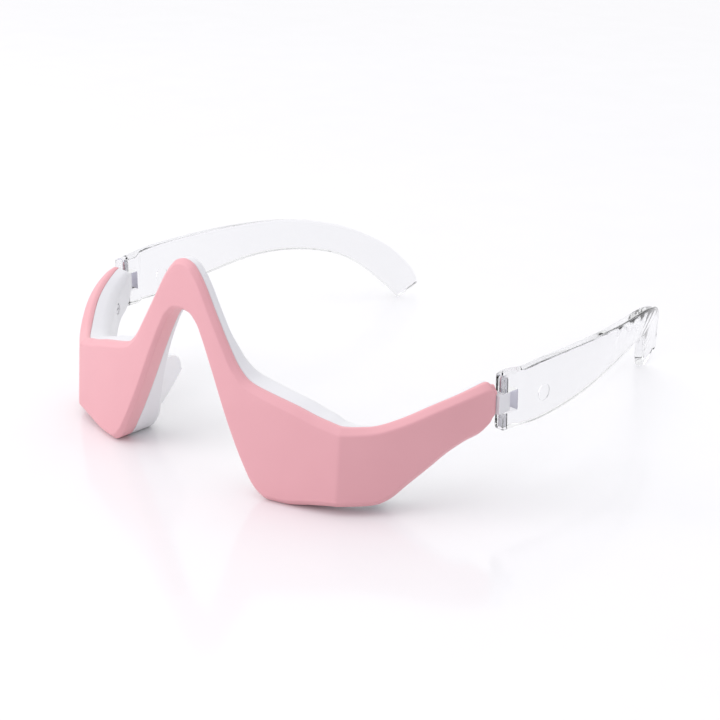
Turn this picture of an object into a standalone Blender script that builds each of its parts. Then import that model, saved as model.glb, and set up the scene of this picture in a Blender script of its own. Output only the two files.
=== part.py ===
"""Under-eye massager worn like spectacles.

A pink cover wraps the front from hinge to hinge: it peaks over the nose, arches
round it, and drops into one lobe under each eye. A white shell closes the back and
holds the skin contacts, the lights, the motors and the electronics. Two clear
temples fold on upright steel pins.

All dimensions below are millimetres and degrees. The wearer's left is +X, the front
faces -Y and the object stands on Z = 0, on the lobes and the temple tips.
"""
import bisect
import functools
import math

import bmesh
import bpy
from mathutils import Matrix, Vector

MM = 0.001
GAP = 0.3                   # clearance between neighbouring pieces
WELD = 0.002 * MM           # corners closer than this are one corner
FLAT = math.radians(0.05)   # faces that meet flatter than this are one face
MIDDLE_Y = 80.82            # halfway from the cover's front to the temple tips

# Front face: a shallow bow in plan that leans back, up to an upright crease.
FRONT_BOW = 0.0034          # y = FRONT_BOW * x**2
LEAN = 0.083                # how far the face moves back per millimetre of height
LEAN_FROM = 2.0             # height where the lean starts from zero
CREASE = 50.0               # half width of the front face
# Side panel: a curve in plan, measured by its own length from the crease.
SIDE_START_HEADING = 39.0
SIDE_TURN = 32.0
SIDE_TURN_LENGTH = 38.5
SIDE_TURN_POWER = 1.35
BAND_END = 91.7             # crease plus the side panel's length
STEEP_END = 86.0            # the walls keep their thickness beyond this
END_WALL = 1.5

COVER_WALL = 1.4
BACK_WALL = 1.8
LIP_WALL = 0.9
LIP_LENGTH = 1.5

# Outlines along the band: distance from the centre line, height.
TOP_EDGE = ((0, 59.0), (2.8, 58.3), (5, 56.4), (7, 53.9), (10.8, 47.6), (16, 39.0),
            (19.4, 33.8), (22.5, 30.9), (26, 29.5), (36.9, 26.8), (45, 24.5), (50, 23.7),
            (56, 24.2), (60, 24.9), (65, 26.3), (75, 29.8), (85.5, 32.5), (89.3, 33.1),
            (91, 31.9))
BOTTOM_EDGE = ((0, 45.4), (2.2, 45.1), (5.2, 42.6), (7.3, 39.0), (11, 31.2),
               (16.3, 19.4), (20.3, 11.4), (22.8, 7.0), (25.3, 3.2), (27.6, 1.0),
               (30, 0.0), (35, 0.0), (43, 1.2), (50, 2.0), (57, 2.2), (60.5, 2.6),
               (63.8, 4.0), (68.6, 7.9), (73.7, 11.8), (78.8, 15.5), (83.8, 17.9),
               (87.3, 18.9), (89.6, 20.3), (91, 22.2))
# Depth of the cover's rim and of the whole body, at the top and the bottom edge.
RIM_TOP = ((0, 1.9), (15, 1.9), (22, 2.3), (30, 2.9), (50, 3.0), (65, 3.4), (91, 3.4))
RIM_BOTTOM = ((0, 5.2), (22, 5.4), (30, 6.0), (50, 5.0), (60, 3.4), (70, 3.0), (91, 3.2))
BODY_TOP = ((0, 4.2), (13.5, 4.2), (16.7, 5.2), (20, 7.2), (22.7, 9.0), (27, 10.0),
            (42, 10.2), (50, 9.6), (60, 8.6), (75, 7.8), (91, 6.9))
BODY_BOTTOM = ((0, 6.5), (5, 6.7), (9, 7.1), (12.7, 8.0), (16.5, 9.8), (20.5, 12.4),
               (25.6, 16.0), (31, 17.0), (38, 16.8), (50, 14.6), (60, 11.8), (75, 8.6),
               (91, 6.9))
COVER_ROUND_TOP = ((0, 1.1), (22, 1.2), (45, 1.5), (60, 2.2), (91, 2.2))
COVER_ROUND_BOTTOM = ((0, 0.9), (24, 1.0), (30, 1.3), (91, 1.3))
BACK_ROUND_TOP = ((0, 0.7), (14, 0.7), (22, 2.4), (30, 3.0), (80, 2.4), (91, 1.2))
BACK_ROUND_BOTTOM = ((0, 0.7), (14, 0.8), (19, 1.1), (23, 2.0), (28, 3.2), (34, 4.0),
                     (60, 3.4), (91, 1.6))
BACK_BOTTOM_SAG = ((0, 0), (54, 0), (60, 1.5), (65, 2.3), (72, 1.7), (80, 0.6), (91, 0))
# How far the top falls back from the front edge, per millimetre of depth.
TOP_SLOPE = ((0, 0), (46, 0), (54, 0.25), (60, 0.42), (80, 0.42), (91, 0.25))
# Direction in which the body's depth is measured, degrees from straight back.
DEPTH_TURN = ((0, 0), (25, 0), (38, 11), (50, 29), (58, 40), (66, 48), (78, 57), (91, 72))

STATIONS = (0, 1.2, 2.4, 3.8, 5.2, 6.6, 8.4, 10.8, 13.6, 16.3, 18.2, 20, 21.5, 23, 24.4,
            25.8, 27.6, 30, 35, 39, 43, 46.5, 50, 53, 57, 60, 62, 64, 67, 70, 73.5, 77,
            80, 83, 85.5, 87.3, 88.5, 89.5, 90.3, 91, BAND_END)

# Hinges: an upright pin through a white tongue and the fork of the clear temple.
HINGE_X = 72.5
HINGE_Y = 47.8
PIN_RADIUS = 0.8
KNUCKLE_RADIUS = 2.2
TONGUE_RADIUS = 1.9
TONGUE_LOW = 23.8
TONGUE_HIGH = 28.9

# Temples: outer face in plan, upper and lower edge by distance from the front.
TEMPLE_WIDEST_Y = 70.8
TEMPLE_HALF_WIDTH = 76.1
TEMPLE_THICKNESS = 2.8
TEMPLE_UPPER = ((45.7, 33.3), (54, 33.9), (64, 34.2), (86, 33.6), (101, 32.8), (111, 32.0),
                (122, 30.3), (134.6, 26.7), (142.6, 23.0), (149.9, 18.3), (155.3, 12.6),
                (158.8, 7.0), (159.6, 3.4))
TEMPLE_LOWER = ((45.7, 18.8), (52, 18.5), (60, 18.0), (73, 18.7), (86, 20.1), (98, 21.6),
                (108, 22.1), (117, 21.5), (125, 20.0), (132, 17.6), (138.1, 13.7),
                (143.4, 8.4), (147.6, 3.8), (150.8, 0.0))
TEMPLE_LEAN = 0.75          # how far the lower edge shares the upper edge's place in plan
TEMPLE_STATIONS = 40
TEMPLE_CHAMFER = 0.5

# Nose pads: silicone fins that stand back from the arch.
PAD_TOP = 25.6
PAD_FOOT = 8.2
PAD_REACH = 9.2
PAD_THICKNESS = 1.9
PAD_INSET = 2.2
PAD_DEEPEST = 0.34          # share of the pad's height, from its top
PAD_STEPS = 14

# Skin side of each lobe.
LOBE = 38.0                 # distance of the lobe's middle along the band
LOBE_HEIGHT = 15.5
ELECTRODE_OFFSETS = {"inner": -10.8, "outer": 12.6}
ELECTRODE_SIZE = (4.2, 10.0)
WINDOW_SIZE = (8.6, 9.0)
HEATER_SIZE = (12.0, 12.4)

# Power button on the outside of the wearer's right side panel.
BUTTON_AT = (-68.0, 18.0)
BUTTON_RADIUS = 3.5
BUTTON_TRAVEL = 0.4

SIDES = {"left": 1, "right": -1}

PALETTE = {
    "pink_soft_touch": ((0.84, 0.42, 0.46), 0.55, 0.0),
    "white_plastic": ((0.86, 0.86, 0.88), 0.42, 0.0),
    "clear_plastic": ((0.90, 0.91, 0.95), 0.08, 0.0),
    "silicone": ((0.80, 0.82, 0.86), 0.5, 0.0),
    "steel": ((0.72, 0.72, 0.74), 0.22, 1.0),
    "red_lens": ((0.75, 0.10, 0.08), 0.2, 0.0),
    "circuit": ((0.03, 0.22, 0.10), 0.5, 0.0),
    "chip_black": ((0.03, 0.03, 0.03), 0.4, 0.0),
    "cell_foil": ((0.62, 0.63, 0.65), 0.35, 0.9),
    "copper_film": ((0.72, 0.38, 0.16), 0.4, 0.6),
    "led_white": ((0.92, 0.86, 0.70), 0.3, 0.0),
}


# ---------------------------------------------------------------- curves

@functools.lru_cache(maxsize=None)
def slopes_of(points, level_start):
    """End slopes of a smooth curve through the points that never overshoots them."""
    steps = [(b[1] - a[1]) / (b[0] - a[0]) for a, b in zip(points, points[1:])]
    slopes = [0.0 if level_start else steps[0]]
    for before, after in zip(steps, steps[1:]):
        turns = before * after <= 0.0
        slopes.append(0.0 if turns else 2.0 * before * after / (before + after))
    slopes.append(steps[-1])
    return slopes


def smooth(points, where, level_start=False):
    """Height of the smooth curve through the points."""
    slopes = slopes_of(points, level_start)
    index = bisect.bisect_right([point[0] for point in points], where) - 1
    index = min(max(index, 0), len(points) - 2)
    (x0, y0), (x1, y1) = points[index], points[index + 1]
    span = x1 - x0
    u = min(max((where - x0) / span, 0.0), 1.0)
    rise = (3 - 2 * u) * u * u
    return (y0 + (y1 - y0) * rise
            + span * (slopes[index] * u * (1 - u) ** 2 - slopes[index + 1] * u * u * (1 - u)))


def top_edge(p):
    return smooth(TOP_EDGE, abs(p), True)


def bottom_edge(p):
    return smooth(BOTTOM_EDGE, abs(p), True)


def stretch(edge, p):
    """How much a wall thickness grows along z where the edge is steep."""
    step = 0.4
    low = min(abs(p), STEEP_END) - step
    rise = (edge(low + 2 * step) - edge(low)) / (2 * step)
    return math.sqrt(1.0 + min(rise * rise, 6.0))


@functools.lru_cache(maxsize=None)
def side_plan(length):
    """Plan position on the side panel, by its length from the crease."""
    x, y = CREASE, FRONT_BOW * CREASE ** 2
    steps = 40
    for step in range(steps):
        middle = length * (step + 0.5) / steps
        turn = SIDE_TURN * (middle / SIDE_TURN_LENGTH) ** SIDE_TURN_POWER
        heading = math.radians(SIDE_START_HEADING + turn)
        x += math.cos(heading) * length / steps
        y += math.sin(heading) * length / steps
    return x, y


def point(p, depth, z):
    """A point of the body: p along the band, depth in from its outer face, z up."""
    reach = abs(p)
    x, y = (reach, FRONT_BOW * reach ** 2) if reach <= CREASE else side_plan(reach - CREASE)
    turn = math.radians(smooth(DEPTH_TURN, reach))
    x -= math.sin(turn) * depth
    y += math.cos(turn) * depth + LEAN * (z - LEAN_FROM)
    return Vector((math.copysign(x, p), y, z))


def body_depth(p, z):
    """Depth of the skin-facing side at height z."""
    low, high = bottom_edge(p), top_edge(p)
    share = min(max((z - low) / (high - low), 0.0), 1.0)
    return smooth(BODY_BOTTOM, abs(p)) * (1 - share) + smooth(BODY_TOP, abs(p)) * share


def outer_face(p, z):
    return 0.0


def surface_frame(p, z, depth, faces_back=False):
    """Axes on a surface of the body: x along the band, y up, z out of the body."""
    along = point(p + 1, depth(p + 1, z), z) - point(p - 1, depth(p - 1, z), z)
    up = point(p, depth(p, z + 1), z + 1) - point(p, depth(p, z - 1), z - 1)
    if faces_back:
        along.negate()
    out = along.cross(up).normalized()
    up.normalize()
    across = up.cross(out)
    frame = Matrix((across, up, out)).transposed().to_4x4()
    frame.translation = point(p, depth(p, z), z)
    return frame


# ---------------------------------------------------------------- building

def material(name):
    made = bpy.data.materials.get(name)
    if made is None:
        colour, roughness, metallic = PALETTE[name]
        made = bpy.data.materials.new(name)
        made.use_nodes = True
        shader = made.node_tree.nodes["Principled BSDF"]
        shader.inputs["Base Color"].default_value = (*colour, 1.0)
        shader.inputs["Roughness"].default_value = roughness
        shader.inputs["Metallic"].default_value = metallic
    return made


def make(name, mesh_edit, finish, origin=(0, 0, 0)):
    """An object from a bmesh in millimetres, with its own origin, in the part's frame."""
    bmesh.ops.recalc_face_normals(mesh_edit, faces=mesh_edit.faces)
    bmesh.ops.translate(mesh_edit, vec=-Vector(origin), verts=mesh_edit.verts)
    bmesh.ops.scale(mesh_edit, vec=(MM, MM, MM), verts=mesh_edit.verts)
    mesh = bpy.data.meshes.new(name)
    mesh_edit.to_mesh(mesh)
    mesh_edit.free()
    mesh.shade_smooth()
    mesh.set_sharp_from_angle(angle=math.radians(35))
    mesh.materials.append(material(finish))
    made = bpy.data.objects.new(name, mesh)
    made.location = (Vector(origin) - Vector((0, MIDDLE_Y, 0))) * MM
    bpy.context.scene.collection.objects.link(made)
    return made


def combine(target, tool, operation):
    """Cut, join or intersect the target with a tool, which is then removed."""
    modifier = target.modifiers.new(tool.name, "BOOLEAN")
    modifier.operation = operation
    modifier.solver = "EXACT"
    modifier.object = tool
    bpy.context.view_layer.update()
    evaluated = target.evaluated_get(bpy.context.evaluated_depsgraph_get())
    mesh = bpy.data.meshes.new_from_object(evaluated)
    mesh_edit = bmesh.new()
    mesh_edit.from_mesh(mesh)
    bmesh.ops.remove_doubles(mesh_edit, verts=mesh_edit.verts, dist=WELD)
    bmesh.ops.dissolve_limit(mesh_edit, angle_limit=FLAT, verts=mesh_edit.verts,
                             edges=mesh_edit.edges)
    bmesh.ops.dissolve_degenerate(mesh_edit, edges=mesh_edit.edges, dist=WELD)
    many_sided = [face for face in mesh_edit.faces if len(face.verts) > 4]
    bmesh.ops.triangulate(mesh_edit, faces=many_sided)
    mesh_edit.to_mesh(mesh)
    mesh_edit.free()
    target.modifiers.clear()
    target.data = mesh
    bpy.data.objects.remove(tool)


def cut(target, tool):
    combine(target, tool, "DIFFERENCE")


def join(target, tool):
    combine(target, tool, "UNION")


def rectangle(width, height, corner=0.0, centre=(0, 0), steps=3):
    """Outline of a rectangle, with rounded corners where corner is over zero."""
    cx, cy = centre
    if corner <= 0:
        return [(cx + sx * width / 2, cy + sy * height / 2)
                for sx, sy in ((-1, -1), (1, -1), (1, 1), (-1, 1))]
    outline = []
    for quarter, (sx, sy) in enumerate(((1, 1), (-1, 1), (-1, -1), (1, -1))):
        for step in range(steps + 1):
            angle = math.radians(90 * quarter + 90 * step / steps)
            outline.append((cx + sx * (width / 2 - corner) + corner * math.cos(angle),
                            cy + sy * (height / 2 - corner) + corner * math.sin(angle)))
    return outline


def circle(radius, sides=24, centre=(0, 0)):
    turns = (math.tau * side / sides for side in range(sides))
    return [(centre[0] + radius * math.cos(a), centre[1] + radius * math.sin(a)) for a in turns]


def prism_mesh(outline, low, high, frame):
    """An outline pushed from low to high along the frame's z axis."""
    mesh_edit = bmesh.new()
    rings = [[mesh_edit.verts.new(frame @ Vector((x, y, z))) for x, y in outline]
             for z in (low, high)]
    mesh_edit.faces.new(reversed(rings[0]))
    mesh_edit.faces.new(rings[1])
    for index in range(len(outline)):
        after = (index + 1) % len(outline)
        mesh_edit.faces.new((rings[0][index], rings[0][after], rings[1][after],
                             rings[1][index]))
    return mesh_edit


def prism(name, outline, low, high, frame, finish="white_plastic", origin=(0, 0, 0)):
    return make(name, prism_mesh(outline, low, high, frame), finish, origin)


def ringed_body(rings, hollow=None, first_wall=0, last_wall=0):
    """Skin of a row of rings with the same number of corners.

    hollow is the run of corners that form an open channel. Its middle corners are
    left out of the first and last rings, which makes those stretches end walls.
    """
    mesh_edit = bmesh.new()
    count = len(rings[0])
    inner = range(hollow[0] + 1, hollow[-1]) if hollow else ()
    last_open = len(rings) - 1 - last_wall
    corners = []
    for index, ring in enumerate(rings):
        walled = index < first_wall or index > last_open
        corners.append({spot: mesh_edit.verts.new(place) for spot, place in enumerate(ring)
                        if not (walled and spot in inner)})
    for index in range(len(rings) - 1):
        here, there = corners[index], corners[index + 1]
        spots = [spot for spot in range(count) if spot in here and spot in there]
        for spot, after in zip(spots, spots[1:] + spots[:1]):
            mesh_edit.faces.new((here[spot], here[after], there[after], there[spot]))
    if hollow:
        mesh_edit.faces.new([corners[first_wall][spot] for spot in hollow])
        mesh_edit.faces.new([corners[last_open][spot] for spot in hollow])
    mesh_edit.faces.new(list(corners[0].values()))
    mesh_edit.faces.new(list(corners[-1].values()))
    return mesh_edit


# ---------------------------------------------------------------- shells

def fallen(p, depth, z):
    """Height of a point of the top, which falls towards the back of the side panels."""
    return z - smooth(TOP_SLOPE, abs(p)) * depth


def both_ways(stations):
    return [-p for p in reversed(stations[1:])] + list(stations)


def cover_ring(p):
    """Cross-section of the pink cover: a channel that opens to the back."""
    reach = abs(p)
    high, low = top_edge(p), bottom_edge(p)
    grow_high, grow_low = stretch(top_edge, p), stretch(bottom_edge, p)
    round_high = smooth(COVER_ROUND_TOP, reach)
    round_low = smooth(COVER_ROUND_BOTTOM, reach)
    rim_high, rim_low = smooth(RIM_TOP, reach), smooth(RIM_BOTTOM, reach)
    slant = 1 - math.sqrt(0.5)
    inner_high = high - COVER_WALL * grow_high
    profile = (
        (rim_low, low), (round_low, low), (slant * round_low, low + slant * round_low * grow_low),
        (0, low + round_low * grow_low), (0, high - round_high * grow_high),
        (slant * round_high, high - slant * round_high * grow_high),
        (round_high, fallen(p, round_high, high)), (rim_high, fallen(p, rim_high, high)),
        (rim_high, fallen(p, rim_high, inner_high)),
        (COVER_WALL, fallen(p, COVER_WALL, inner_high)),
        (COVER_WALL, low + COVER_WALL * grow_low), (rim_low, low + COVER_WALL * grow_low))
    return [point(p, depth, z) for depth, z in profile]


def back_ring(p):
    """Cross-section of the white shell: a channel that opens to the front, with a lip."""
    reach = abs(p)
    high, low = top_edge(p), bottom_edge(p)
    grow_high, grow_low = stretch(top_edge, p), stretch(bottom_edge, p)
    part_high = smooth(RIM_TOP, reach) + GAP
    part_low = smooth(RIM_BOTTOM, reach) + GAP
    sag = low - smooth(BACK_BOTTOM_SAG, reach)
    round_high = smooth(BACK_ROUND_TOP, reach)
    round_low = smooth(BACK_ROUND_BOTTOM, reach)
    deep_high, deep_low = smooth(BODY_TOP, reach), smooth(BODY_BOTTOM, reach)
    lip = LIP_LENGTH if reach < 86 else 0.05
    lip_high = max(part_high - lip, COVER_WALL + 0.4)
    lip_low = max(part_low - lip, COVER_WALL + 0.4)
    step = COVER_WALL + GAP
    inside = step + LIP_WALL
    slant = 1 - math.sqrt(0.5)
    wall_high, wall_low = high - inside * grow_high, low + inside * grow_low
    edge_high = fallen(p, deep_high, high)
    face_high = edge_high - round_high * grow_high
    back_high = fallen(p, deep_high, wall_high)
    profile = (
        (part_low, low), (deep_low - round_low, sag),
        (deep_low - slant * round_low, sag + slant * round_low * grow_low),
        (body_depth(p, sag + round_low * grow_low), sag + round_low * grow_low),
        (body_depth(p, face_high), face_high),
        (deep_high - slant * round_high, edge_high - slant * round_high * grow_high),
        (deep_high - round_high, fallen(p, deep_high - round_high, high)),
        (part_high, fallen(p, part_high, high)),
        (part_high, fallen(p, part_high, high - step * grow_high)),
        (lip_high, fallen(p, lip_high, high - step * grow_high)),
        (lip_high, fallen(p, lip_high, wall_high)),
        (body_depth(p, back_high) - BACK_WALL, back_high),
        (body_depth(p, wall_low) - BACK_WALL, wall_low), (lip_low, wall_low),
        (lip_low, low + step * grow_low), (part_low, low + step * grow_low))
    return [point(p, depth, z) for depth, z in profile]


def build_shells():
    stations = both_ways(STATIONS)
    walls = sum(1 for p in STATIONS if p > BAND_END - END_WALL)
    cover = make("front_shell", ringed_body([cover_ring(p) for p in stations],
                                            (8, 9, 10, 11), walls, walls), "pink_soft_touch")
    back = make("rear_shell", ringed_body([back_ring(p) for p in stations],
                                          (10, 11, 12, 13), walls, walls), "white_plastic")
    return cover, back


# ---------------------------------------------------------------- hinges and temples

def upright(side):
    """Axes of an upright piece: x outwards on that side, z up."""
    return Matrix.Diagonal((side, 1, 1, 1))


def tongue_outline(margin):
    """Plan of the white hinge tongue, grown by a margin."""
    inner, outer = HINGE_X - TONGUE_RADIUS - margin, HINGE_X + TONGUE_RADIUS + margin
    step_y, step_x = 43.9 - margin, 72.0 + margin
    outline = [(inner - 2.0, 40.2 - margin), (step_x, 40.2 - margin), (step_x, step_y),
               (outer, step_y)]
    for turn in range(9):
        angle = math.pi * turn / 8
        outline.append((HINGE_X + (TONGUE_RADIUS + margin) * math.cos(angle),
                        HINGE_Y + (TONGUE_RADIUS + margin) * math.sin(angle)))
    outline.append((inner, 44.6))
    outline.append((inner - 2.0, 43.0))
    return outline


def build_hinge(side_name, side, cover, back):
    frame = upright(side)
    tongue = prism("tongue", tongue_outline(0.0), TONGUE_LOW, TONGUE_HIGH, frame)
    join(back, tongue)
    hole = circle(PIN_RADIUS + GAP, 16, (HINGE_X, HINGE_Y))
    cut(back, prism("hole", hole, TONGUE_LOW - 1, TONGUE_HIGH + 1, frame))
    cut(cover, prism("notch", tongue_outline(GAP), TONGUE_LOW - GAP, TONGUE_HIGH + GAP, frame))
    pin = circle(PIN_RADIUS, 16, (HINGE_X, HINGE_Y))
    prism("hinge_pin_" + side_name, pin, 19.2, 32.8, frame, "steel")


def temple_plan(y):
    """Half width of the temple's outer face at y."""
    if y < TEMPLE_WIDEST_Y:
        return TEMPLE_HALF_WIDTH - 0.0024 * (TEMPLE_WIDEST_Y - y) ** 2
    return TEMPLE_HALF_WIDTH - 0.000887 * (y - TEMPLE_WIDEST_Y) ** 2.3


def temple_thickness(y):
    """The arm thickens into a round knuckle about the pin."""
    reach = y - HINGE_Y
    if reach < 0:
        across = math.sqrt(max(KNUCKLE_RADIUS ** 2 - reach ** 2, 0.0))
    else:
        across = KNUCKLE_RADIUS
    knuckle = temple_plan(y) - HINGE_X + across
    blend = min(max((reach - 2.0) / 5.0, 0.0), 1.0)
    blend = blend * blend * (3 - 2 * blend)
    return knuckle * (1 - blend) + TEMPLE_THICKNESS * blend


def along_edge(points, share):
    """Point at a share of an edge's length."""
    run, total = [], 0.0
    for a, b in zip(points, points[1:]):
        run.append(total)
        total += math.dist(a, b)
    run.append(total)
    want = share * total
    index = min(max(bisect.bisect_right(run, want) - 1, 0), len(points) - 2)
    return index, (want - run[index]) / (run[index + 1] - run[index])


def edge_point(points, share):
    """Smooth (y, z) at a share of the edge's length, through its design points."""
    index, u = along_edge(points, share)
    before = points[max(index - 1, 0)]
    a, b = points[index], points[index + 1]
    after = points[min(index + 2, len(points) - 1)]
    place = []
    for axis in (0, 1):
        m0 = (b[axis] - before[axis]) / 2
        m1 = (after[axis] - a[axis]) / 2
        place.append((2 * u ** 3 - 3 * u ** 2 + 1) * a[axis] + (u ** 3 - 2 * u ** 2 + u) * m0
                     + (3 * u ** 2 - 2 * u ** 3) * b[axis] + (u ** 3 - u ** 2) * m1)
    return place


def temple_corner(y, z, plan_y, share, side):
    """A point of the temple: share 0 on its outer face, 1 on its inner face."""
    step = 0.5
    slope = (temple_plan(plan_y + step) - temple_plan(plan_y - step)) / (2 * step)
    inward = Vector((-1.0, slope, 0)).normalized()
    place = Vector((temple_plan(plan_y), y, z)) + inward * temple_thickness(y) * share
    return Vector((side * place.x, place.y, place.z))


def temple_ring(share, side):
    upper, lower = edge_point(TEMPLE_UPPER, share), edge_point(TEMPLE_LOWER, share)
    height = math.dist(upper, lower)
    ring = []
    for face, edge in ((0, 0), (0, 1), (1, 1), (1, 0)):
        # each corner of the bar is cut by a small chamfer
        for chamfer_first in (True, False):
            near_edge = (face == edge) == chamfer_first
            inset = 0.0 if near_edge else TEMPLE_CHAMFER
            depth_inset = TEMPLE_CHAMFER if near_edge else 0.0
            along = inset / height
            mix = along if edge == 0 else 1 - along
            y = lower[0] + (upper[0] - lower[0]) * mix
            z = lower[1] + (upper[1] - lower[1]) * mix
            share_in = depth_inset / temple_thickness(y)
            share_in = share_in if face == 0 else 1 - share_in
            plan_y = y + TEMPLE_LEAN * (upper[0] - y)
            ring.append(temple_corner(y, z, plan_y, share_in, side))
    return ring


def build_temple(side_name, side):
    lead = [0.0, 0.004, 0.010, 0.017, 0.024, 0.034, 0.045, 0.055, 0.065, 0.075]
    rest = [0.09 + (1 - 0.09) * step / TEMPLE_STATIONS for step in range(TEMPLE_STATIONS + 1)]
    rings = [temple_ring(share, side) for share in lead + rest]
    origin = (side * HINGE_X, HINGE_Y, 0)
    temple = make("temple_" + side_name, ringed_body(rings), "clear_plastic", origin)
    frame = upright(side)
    slot = rectangle(16, HINGE_Y + 3.0 - 40.0, 0, (HINGE_X, (HINGE_Y + 3.0 + 40.0) / 2))
    cut(temple, prism("slot", slot, TONGUE_LOW - GAP, TONGUE_HIGH + GAP, frame))
    hole = circle(PIN_RADIUS + GAP, 16, (HINGE_X, HINGE_Y))
    cut(temple, prism("hole", hole, 10, 40, frame))


# ---------------------------------------------------------------- nose pads

def arch_wall(z):
    """Distance along the band where the nose arch has this height."""
    low, high = 2.2, 30.0
    for _ in range(30):
        middle = (low + high) / 2
        low, high = (middle, high) if bottom_edge(middle) > z else (low, middle)
    return low


def build_nose_pad(side_name, side):
    """A silicone fin along the back edge of the arch, deepest near its top."""
    rings = []
    for step in range(PAD_STEPS + 1):
        share = step / PAD_STEPS
        z = PAD_TOP - (PAD_TOP - PAD_FOOT) * share
        inner, outer = arch_wall(z) + PAD_INSET, arch_wall(z) + PAD_INSET + PAD_THICKNESS
        seat = max(body_depth(inner, z), body_depth(outer, z)) + GAP + 0.1
        roots = [point(place, seat, z) for place in (inner, outer)]
        if share < PAD_DEEPEST:
            swell = math.sqrt(1 - (1 - share / PAD_DEEPEST) ** 2)
            reach = 4.2 + (PAD_REACH - 4.2) * swell
        else:
            reach = PAD_REACH * (1 - (share - PAD_DEEPEST) / (1 - PAD_DEEPEST)) + 0.8
        out = Vector((0.2, 1.0, -0.1)).normalized() * reach
        soft = 0.25 if reach > 2 else 0.1
        ring = [roots[0], roots[0] + out * (1 - soft * 0.4), roots[0].lerp(roots[1], 0.3) + out,
                roots[0].lerp(roots[1], 0.7) + out, roots[1] + out * (1 - soft * 0.4), roots[1]]
        rings.append([Vector((side * place.x, place.y, place.z)) for place in ring])
    make("nose_pad_" + side_name, ringed_body(rings), "silicone")


# ---------------------------------------------------------------- skin side

def build_lobe(side_name, side, back):
    """Contacts, red light and heating film of one lobe, set in the white shell."""
    middle = surface_frame(side * LOBE, LOBE_HEIGHT, body_depth, True)
    width, height = WINDOW_SIZE
    cut(back, prism("pane_hole", rectangle(width + 2 * GAP, height + 2 * GAP, 2.3), -4, 3,
                    middle))
    prism("light_window_" + side_name, rectangle(width, height, 2.0), -BACK_WALL, -0.1,
          middle, "red_lens")
    board_top = -BACK_WALL - 3 * GAP - 0.5
    prism("light_board_" + side_name, rectangle(9.6, 9.4, 0.6), board_top - 0.8, board_top,
          middle, "circuit")
    for number in (1, 2, 3):
        spot = rectangle(1.8, 1.8, 0, ((number - 2) * 2.8, 0))
        prism("led_%s_%d" % (side_name, number), spot, board_top + 0.1, board_top + 0.8,
              middle, "led_white")
    film = prism("heating_film_" + side_name, rectangle(*HEATER_SIZE, 1.0),
                 -BACK_WALL - 1.0, -BACK_WALL - 0.75, middle, "copper_film")
    cut(film, prism("film_hole", rectangle(width + 1.0, height + 1.0, 2.3), -4, 0, middle))
    for place, offset in ELECTRODE_OFFSETS.items():
        seat = surface_frame(side * (LOBE + offset), LOBE_HEIGHT, body_depth, True)
        wide, tall = ELECTRODE_SIZE
        corner = wide / 2 - 0.01
        cut(back, prism("pocket", rectangle(wide + 2 * GAP, tall + 2 * GAP, corner + GAP),
                        -1.0, 3, seat))
        prism("electrode_%s_%s" % (place, side_name), rectangle(wide, tall, corner, (0, 0), 5),
              -1.0 + GAP, 0.5, seat, "steel")


def build_screws(side_name, side, cover, back):
    for label, reach, z in (("front", 58.6, 17.3), ("rear", 78.4, 22.8)):
        seat = surface_frame(side * reach, z, body_depth, True)
        wall = surface_frame(side * reach, z, outer_face)
        depth = (seat.translation - wall.translation).length
        boss_end = -BACK_WALL - GAP
        boss = prism("boss", circle(1.6, 18), COVER_WALL * 0.4 - depth, boss_end, seat)
        cut(boss, prism("bore", circle(0.95, 12), boss_end - 3.2, boss_end + 1, seat))
        join(cover, boss)
        cut(back, prism("bore", circle(0.95, 12), -BACK_WALL - 1, 1, seat))
        cut(back, prism("sink", circle(1.75, 16), -1.0, 3, seat))
        screw = prism("shell_screw_%s_%s" % (label, side_name), circle(1.45, 16),
                      -1.0 + GAP, -0.05, seat, "steel")
        join(screw, prism("shank", circle(0.65, 12), boss_end - 3.0, -0.4, seat))


# ---------------------------------------------------------------- inside

def build_motor(side_name, side):
    """Vibration motor: a can and a half-round weight that spins on its own shaft."""
    seat = surface_frame(side * 58.5, 12.8, lambda p, z: 4.9)
    # the motor lies along the band: turn its axes so that z runs along it
    frame = seat @ Matrix.Rotation(math.radians(90), 4, "Y")
    can = prism("motor_case_" + side_name, circle(2.0, 20), -4.6, 2.6, frame, "steel")
    cut(can, prism("bore", circle(0.75, 12), 0.6, 4, frame))
    arc = [(2.1 * math.cos(a), 2.1 * math.sin(a))
           for a in (math.pi * step / 10 for step in range(11))]
    outline = [(-0.9, -0.8), (0.9, -0.8)] + arc
    origin = frame.translation
    weight = prism("motor_weight_" + side_name, outline, 3.1, 6.1, frame, "steel", origin)
    join(weight, prism("shaft", circle(0.4, 12), 1.0, 4.0, frame))


def build_left_electronics():
    pack = surface_frame(37.0, 12.8, outer_face)
    prism("battery", rectangle(19.5, 13.0, 1.4), -6.9, -2.2, pack, "cell_foil")


def build_right_electronics(back):
    board = surface_frame(-38.0, 12.4, outer_face)
    prism("main_board", rectangle(20.0, 13.0, 1.0), -7.3, -6.5, board, "circuit")
    prism("controller_chip", rectangle(5, 5, 0, (-4, 1)), -6.2, -5.3, board, "chip_black")
    prism("pulse_coil", circle(2.4, 16, (4, 1)), -6.2, -3.8, board, "chip_black")
    port = Matrix.Rotation(math.radians(-16), 4, "Z")
    port.translation = point(-43.0, 10.1, 0)
    shell = prism("usb_socket", rectangle(8.9, 3.2, 1.59), 1.9, 7.9, port, "steel")
    cut(shell, prism("mouth", rectangle(8.3, 2.6, 1.29), 1.0, 7.2, port))
    join(shell, prism("contacts", rectangle(6.6, 0.7), 2.7, 7.4, port))
    cut(back, prism("port", rectangle(8.9 + 2 * GAP, 3.2 + 2 * GAP, 1.85), -3.0, 5.2, port))


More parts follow.
